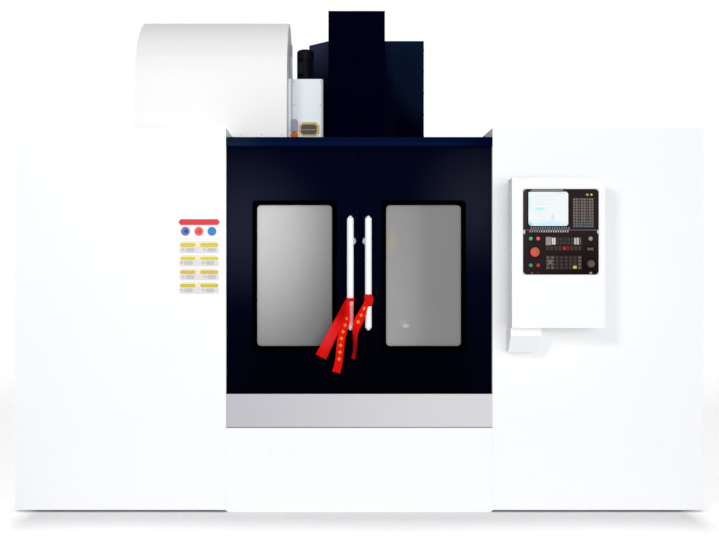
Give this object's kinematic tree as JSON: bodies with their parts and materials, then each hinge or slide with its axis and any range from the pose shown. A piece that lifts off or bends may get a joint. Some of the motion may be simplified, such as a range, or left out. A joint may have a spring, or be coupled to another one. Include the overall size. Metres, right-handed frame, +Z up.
{
  "type": "cnc machining center",
  "caption": "Vertical machining centre in a white sheet-metal enclosure with dark sliding doors, a drum tool magazine, a swinging control panel and a T-slot table inside.",
  "frame": {"origin": "on the floor, under the middle of the box that holds the whole machine", "axes": "+X to the operator's right, +Y from the operator into the machine, +Z up"},
  "size_m": [4.13, 2.972, 3.214],
  "materials": {
    "bed_casting": "painted, satin",
    "white_paint": "satin",
    "navy_paint": "satin",
    "sill_paint": "satin",
    "sliding_steel": "ground",
    "motor_black": "matt",
    "cover_cloth": "matt",
    "window_glass": "clear",
    "seal_rubber": "matt",
    "handle_white": "gloss",
    "ribbon_red": "satin cloth",
    "panel_black": "matt",
    "box_white": "satin",
    "notice_white": "printed",
    "green_plastic": "gloss",
    "red_plastic": "gloss",
    "knob_black": "matt",
    "sight_cover": "satin",
    "pot_plastic": "matt"
  },
  "bodies": {
    "frame": {"machine_bed": "bed_casting", "levelling_feet": "sliding_steel", "column": "navy_paint", "guide_rails": "sliding_steel", "axis_motors": "motor_black", "front_panel_left": "white_paint", "front_panel_right": "white_paint", "side_panels": "white_paint", "back_and_roof_panels": "white_paint", "door_header": "navy_paint", "door_sill": "sill_paint", "coolant_tank": "white_paint", "column_side_cover": "navy_paint", "magazine_bracket": "bed_casting", "magazine_cover": "white_paint", "atc_cam_box": "white_paint", "atc_motor": "motor_black", "atc_sight_window": "sight_cover", "electrical_cabinet": "white_paint", "notice_plate": "notice_white", "control_bracket": "white_paint", "y_bellows": "cover_cloth", "z_bellows": "cover_cloth"},
    "saddle": {"saddle": "bed_casting", "x_guide_rails": "sliding_steel", "x_axis_motor": "motor_black", "x_bellows": "cover_cloth"},
    "table": {"work_table": "bed_casting", "slotted_table_top": "sliding_steel"},
    "x_screw": {"x_ball_screw": "sliding_steel"},
    "y_screw": {"y_ball_screw": "sliding_steel"},
    "z_screw": {"z_ball_screw": "sliding_steel"},
    "head": {"spindle_head": "navy_paint", "head_cover": "navy_paint", "spindle_motor": "motor_black"},
    "spindle": {"spindle": "sliding_steel"},
    "left_door": {"left_door": "navy_paint", "left_window": "window_glass", "left_window_seal": "seal_rubber", "left_handle": "handle_white", "left_ribbon": "ribbon_red"},
    "right_door": {"right_door": "navy_paint", "right_window": "window_glass", "right_window_seal": "seal_rubber", "right_handle": "handle_white", "right_ribbon": "ribbon_red"},
    "magazine": {"magazine_disc": "pot_plastic"},
    "swing_pot": {"swing_pot": "pot_plastic"},
    "arm_shaft": {"atc_shaft": "sliding_steel"},
    "arm": {"atc_arm": "sliding_steel"},
    "control_station": {"control_box": "box_white", "control_face": "panel_black"},
    "emergency_stop": {"emergency_stop": "red_plastic"},
    "cycle_start": {"cycle_start_button": "green_plastic"},
    "feed_hold": {"feed_hold_button": "red_plastic"},
    "power_on": {"power_on_button": "green_plastic"},
    "power_off": {"power_off_button": "red_plastic"},
    "feed_override": {"feed_override_knob": "knob_black"},
    "cabinet_door": {"cabinet_door": "white_paint"},
    "main_switch": {"main_switch": "red_plastic"}
  },
  "joints": [
    {"name": "saddle_slide", "type": "slide", "parent": "frame", "child": "saddle", "axis": [0, 1, 0], "range_m": [-0.3, 0.3], "deforming": ["y_bellows"]},
    {"name": "table_slide", "type": "slide", "parent": "saddle", "child": "table", "axis": [1, 0, 0], "range_m": [-0.65, 0.65], "deforming": ["x_bellows"]},
    {"name": "head_slide", "type": "slide", "parent": "frame", "child": "head", "axis": [0, 0, 1], "range_m": [-0.75, 0], "deforming": ["z_bellows"]},
    {"name": "y_screw_turn", "type": "hinge", "parent": "frame", "child": "y_screw", "pos_m": [0, 0, 0.505], "axis": [0, 1, 0], "range_deg": [-6770, 6770]},
    {"name": "x_screw_turn", "type": "hinge", "parent": "saddle", "child": "x_screw", "pos_m": [0, -0.3, 0.785], "axis": [1, 0, 0], "range_deg": [-14645, 14645]},
    {"name": "z_screw_turn", "type": "hinge", "parent": "frame", "child": "z_screw", "pos_m": [0, 0.56, 0], "axis": [0, 0, 1], "range_deg": [-16895, 20]},
    {"name": "spindle_spin", "type": "hinge", "parent": "head", "child": "spindle", "pos_m": [0, -0.3, 2.155], "axis": [0, 0, 1], "continuous": true},
    {"name": "left_door_slide", "type": "slide", "parent": "frame", "child": "left_door", "axis": [-1, 0, 0], "range_m": [0, 0.68]},
    {"name": "right_door_slide", "type": "slide", "parent": "frame", "child": "right_door", "axis": [1, 0, 0], "range_m": [0, 0.68]},
    {"name": "magazine_spin", "type": "hinge", "parent": "frame", "child": "magazine", "pos_m": [-0.67, -0.3, 2.64], "axis": [1, 0, 0], "continuous": true},
    {"name": "pot_swing", "type": "hinge", "parent": "magazine", "child": "swing_pot", "pos_m": [-0.67, -0.3, 2.28], "axis": [0, -1, 0], "range_deg": [0, 90]},
    {"name": "arm_lower", "type": "slide", "parent": "frame", "child": "arm_shaft", "axis": [0, 0, -1], "range_m": [0, 0.14]},
    {"name": "arm_turn", "type": "hinge", "parent": "arm_shaft", "child": "arm", "pos_m": [-0.335, -0.3, 2.13], "axis": [0, 0, -1], "range_deg": [0, 180]},
    {"name": "control_swivel", "type": "hinge", "parent": "frame", "child": "control_station", "pos_m": [0.965, -1.34, 1.13], "axis": [0, 0, -1], "range_deg": [0, 60]},
    {"name": "emergency_stop_press", "type": "slide", "parent": "control_station", "child": "emergency_stop", "axis": [0, 1, 0], "range_m": [0, 0.006], "stiffness_N_per_m": 900},
    {"name": "cycle_start_press", "type": "slide", "parent": "control_station", "child": "cycle_start", "axis": [0, 1, 0], "range_m": [0, 0.003], "stiffness_N_per_m": 900},
    {"name": "feed_hold_press", "type": "slide", "parent": "control_station", "child": "feed_hold", "axis": [0, 1, 0], "range_m": [0, 0.003], "stiffness_N_per_m": 900},
    {"name": "power_on_press", "type": "slide", "parent": "control_station", "child": "power_on", "axis": [0, 1, 0], "range_m": [0, 0.003], "stiffness_N_per_m": 900},
    {"name": "power_off_press", "type": "slide", "parent": "control_station", "child": "power_off", "axis": [0, 1, 0], "range_m": [0, 0.003], "stiffness_N_per_m": 900},
    {"name": "feed_override_turn", "type": "hinge", "parent": "control_station", "child": "feed_override", "pos_m": [1.32789, -1.456, 1.48762], "axis": [0, 1, 0], "range_deg": [0, 270]},
    {"name": "cabinet_door_hinge", "type": "hinge", "parent": "frame", "child": "cabinet_door", "pos_m": [-0.45, 1.436, 1.25], "axis": [0, 0, 1], "range_deg": [0, 110]},
    {"name": "main_switch_turn", "type": "hinge", "parent": "cabinet_door", "child": "main_switch", "pos_m": [0.25, 1.446, 1.75], "axis": [0, 1, 0], "range_deg": [0, 90]}
  ],
  "couplings": [
    {"joint": "y_screw_turn", "follows": "saddle_slide", "rad_per_m": 392.7},
    {"joint": "x_screw_turn", "follows": "table_slide", "rad_per_m": 392.7},
    {"joint": "z_screw_turn", "follows": "head_slide", "rad_per_m": 392.7}
  ]
}
